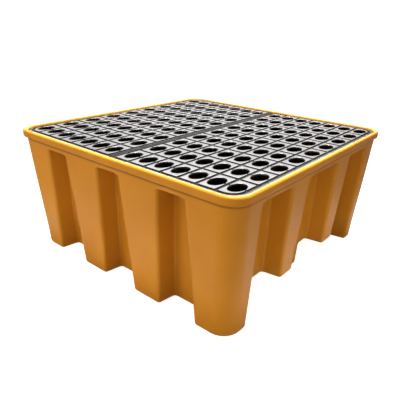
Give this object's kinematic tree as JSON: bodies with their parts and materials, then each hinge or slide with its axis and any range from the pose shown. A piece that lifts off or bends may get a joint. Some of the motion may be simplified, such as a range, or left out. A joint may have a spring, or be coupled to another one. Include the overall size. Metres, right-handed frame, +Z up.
{
  "type": "spill containment pallet",
  "caption": "Deep square moulded spill tub on runners with recessed sides, fork tunnels and a two-panel lift-out grating deck carried on loose columns in the sump.",
  "frame": {"origin": "on the floor, under the middle of the tub", "axes": "+X along the fork tunnels, across the joint between the deck panels; +Y along that joint; +Z up"},
  "size_m": [1.575, 1.575, 0.728],
  "materials": {
    "tub_plastic": "rotationally moulded polyethylene, satin with a fine waxy grain",
    "deck_plastic": "moulded black polymer, glossy pads and matte grooves",
    "pipe_plastic": "extruded grey pipe, satin",
    "end_plastic": "moulded black plastic, satin"
  },
  "bodies": {
    "tub": {"sump_tub": "tub_plastic", "column_foot_1": "end_plastic", "column_pipe_1": "pipe_plastic", "column_cap_1": "end_plastic", "column_foot_2": "end_plastic", "column_pipe_2": "pipe_plastic", "column_cap_2": "end_plastic", "column_foot_3": "end_plastic", "column_pipe_3": "pipe_plastic", "column_cap_3": "end_plastic", "column_foot_4": "end_plastic", "column_pipe_4": "pipe_plastic", "column_cap_4": "end_plastic", "column_foot_5": "end_plastic", "column_pipe_5": "pipe_plastic", "column_cap_5": "end_plastic", "column_foot_6": "end_plastic", "column_pipe_6": "pipe_plastic", "column_cap_6": "end_plastic"},
    "panel_left": {"deck_panel_left": "deck_plastic"},
    "panel_right": {"deck_panel_right": "deck_plastic"}
  },
  "joints": [
    {"name": "panel_left_lift", "type": "slide", "parent": "tub", "child": "panel_left", "axis": [0, 0, 1], "range_m": [0, 0.3]},
    {"name": "panel_right_lift", "type": "slide", "parent": "tub", "child": "panel_right", "axis": [0, 0, 1], "range_m": [0, 0.3]}
  ]
}
